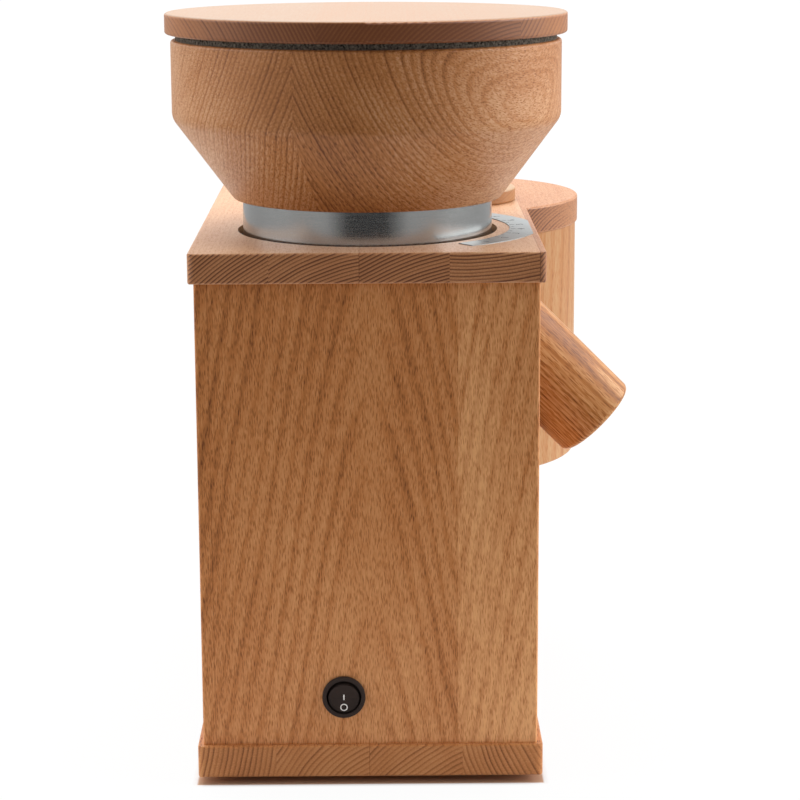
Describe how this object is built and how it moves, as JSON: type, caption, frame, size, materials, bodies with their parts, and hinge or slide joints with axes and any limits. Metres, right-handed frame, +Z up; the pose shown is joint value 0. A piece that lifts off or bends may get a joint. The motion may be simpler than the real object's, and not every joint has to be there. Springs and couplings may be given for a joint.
{
  "type": "electric grain mill with flaker",
  "caption": "Countertop electric grain mill in a beech case: turned screw-down hopper with lid, angled spout, rocker switch, and a roller flaker in a rounded column.",
  "frame": {"origin": "middle of the footprint of the whole object, on the surface that it stands on", "axes": "+Z up, +X towards the side with the spout and the column, -Y towards the end panel with the switch"},
  "size_m": [0.252, 0.358, 0.4055],
  "materials": {
    "beech_board": "oiled beech, planed and sanded",
    "beech_turned": "oiled beech, turned",
    "beech_block": "raw beech",
    "brushed_collar": "brushed round the axis",
    "scale_metal": "satin",
    "felt": "pressed wool felt",
    "nylon_black": "glass-filled nylon",
    "switch_black": "moulded, fine satin",
    "foot_rubber": "matt",
    "screw_steel": "zinc plated",
    "millstone": "bonded corundum",
    "cast_metal": "die cast",
    "machined_steel": "machined",
    "lamination": "varnished",
    "copper_winding": "enamelled wire",
    "fan_plastic": "moulded",
    "capacitor_white": "moulded",
    "gear_brass": "machined",
    "roller_steel": "fluted and ground",
    "sheet_steel": "rolled sheet",
    "motor_paint": "satin"
  },
  "bodies": {
    "case": {"top_board": "beech_board", "base_board": "beech_board", "switch_panel": "beech_board", "end_panel": "beech_board", "spout_panel": "beech_board", "rear_panel": "beech_board", "base_blocks": "beech_block", "column_shell": "beech_board", "rubber_feet": "foot_rubber", "foot_screws": "screw_steel", "scale_plate": "scale_metal", "thread_ring": "nylon_black", "carrier_springs": "screw_steel", "grinding_chamber": "cast_metal", "chamber_screws": "screw_steel", "spout": "beech_turned", "motor_top_shield": "cast_metal", "motor_bottom_shield": "cast_metal", "stator_core": "lamination", "stator_windings": "copper_winding", "motor_bearings": "machined_steel", "motor_bolts": "screw_steel", "run_capacitor": "capacitor_white", "capacitor_clip": "screw_steel", "switch_body": "switch_black", "cord_gland": "nylon_black", "grain_funnel": "sheet_steel", "roller_plate_front": "sheet_steel", "roller_plate_rear": "sheet_steel", "roller_bushes": "gear_brass", "gearbox_pillars": "machined_steel", "flaker_gearbox": "cast_metal", "flaker_motor": "motor_paint", "flake_chute": "sheet_steel", "plate_screws": "screw_steel"},
    "stone_lift_body": {"stone_carrier": "cast_metal", "upper_stone": "millstone"},
    "hopper_body": {"hopper": "beech_turned", "lid_gasket": "felt", "hopper_foot": "nylon_black", "collar_ring": "brushed_collar", "hopper_screws": "screw_steel"},
    "hopper_lid_body": {"hopper_lid": "beech_turned"},
    "flaker_lid_body": {"flaker_lid": "beech_turned"},
    "rocker_body": {"switch_rocker": "switch_black"},
    "mill_rotor": {"motor_shaft": "machined_steel", "rotor_core": "lamination", "motor_fan": "fan_plastic", "stone_hub": "cast_metal", "lower_stone": "millstone", "shaft_nut": "screw_steel"},
    "drive_roller_body": {"drive_roller": "roller_steel", "drive_gear": "gear_brass", "gearbox_shaft": "machined_steel", "shaft_coupling": "machined_steel"},
    "driven_roller_body": {"driven_roller": "roller_steel", "driven_gear": "gear_brass"}
  },
  "joints": [
    {"name": "stone_lift", "type": "slide", "parent": "case", "child": "stone_lift_body", "axis": [0, 0, 1], "range_m": [0, 0.0016], "deforming": ["carrier_springs"]},
    {"name": "hopper_turn", "type": "hinge", "parent": "stone_lift_body", "child": "hopper_body", "pos_m": [-0.01741, -0.07045, 0.3055], "axis": [0, 0, 1], "range_deg": [0, 270]},
    {"name": "hopper_lid_lift", "type": "slide", "parent": "hopper_body", "child": "hopper_lid_body", "axis": [0, 0, 1], "range_m": [0, 0.12]},
    {"name": "flaker_lid_lift", "type": "slide", "parent": "case", "child": "flaker_lid_body", "axis": [0, 0, 1], "range_m": [0, 0.03]},
    {"name": "switch_tilt", "type": "hinge", "parent": "case", "child": "rocker_body", "pos_m": [-0.03141, -0.15695, 0.048], "axis": [-1, 0, 0], "range_deg": [0, 16]},
    {"name": "mill_spin", "type": "hinge", "parent": "case", "child": "mill_rotor", "pos_m": [-0.01741, -0.07045, 0.16], "axis": [0, 0, 1], "continuous": true},
    {"name": "drive_roller_spin", "type": "hinge", "parent": "case", "child": "drive_roller_body", "pos_m": [0.03059, 0.0315, 0.212], "axis": [1, 0, 0], "continuous": true},
    {"name": "driven_roller_spin", "type": "hinge", "parent": "case", "child": "driven_roller_body", "pos_m": [0.03059, 0.076, 0.212], "axis": [1, 0, 0], "continuous": true}
  ],
  "couplings": [
    {"joint": "stone_lift", "follows": "hopper_turn", "m_per_rad": 0.00031831},
    {"joint": "driven_roller_spin", "follows": "drive_roller_spin", "ratio": -1}
  ]
}
